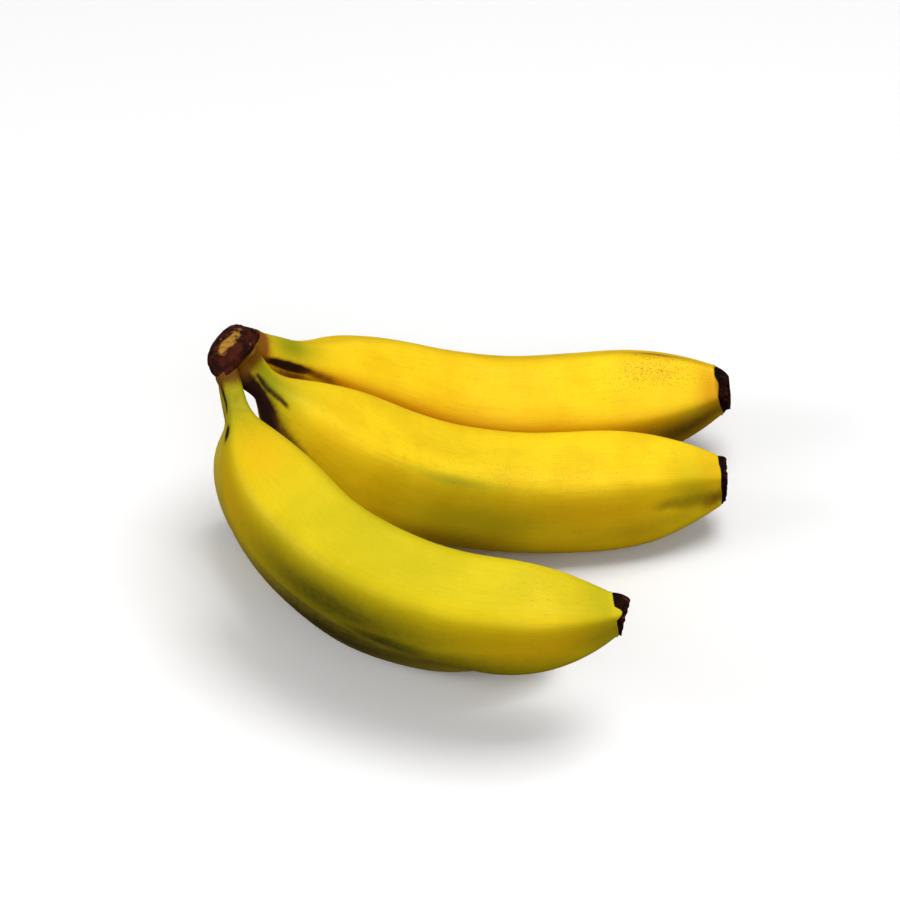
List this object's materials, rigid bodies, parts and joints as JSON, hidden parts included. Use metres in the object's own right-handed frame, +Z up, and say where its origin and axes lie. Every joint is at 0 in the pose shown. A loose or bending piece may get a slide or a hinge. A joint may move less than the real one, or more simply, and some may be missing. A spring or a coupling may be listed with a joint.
{
  "type": "bunch of bananas",
  "caption": "Small hand of ripening bananas joined at a dark crown, curved fingers with soft long edges and dried blossom ends, lying on a surface as fruit to pick, eat or display.",
  "frame": {"origin": "middle of the bounding box on the ground plane that the hand lies on", "axes": "+X from the crown towards the finger tips, +Y from the front finger to the back finger, +Z up"},
  "size_m": [0.1882, 0.1878, 0.0924],
  "materials": {
    "crown": "dry, fibrous cut end",
    "peel_front": "waxy peel, still greenish",
    "peel_middle": "waxy yellow peel",
    "peel_back": "waxy golden peel",
    "peel_under": "waxy peel, green shading to brown",
    "blossom_end": "dry black remains of the flower"
  },
  "bodies": {
    "root": {"crown": "crown", "banana_front": "peel_front", "blossom_end_front": "blossom_end", "banana_middle": "peel_middle", "blossom_end_middle": "blossom_end", "banana_back": "peel_back", "blossom_end_back": "blossom_end", "banana_under": "peel_under", "blossom_end_under": "blossom_end"}
  },
  "joints": []
}
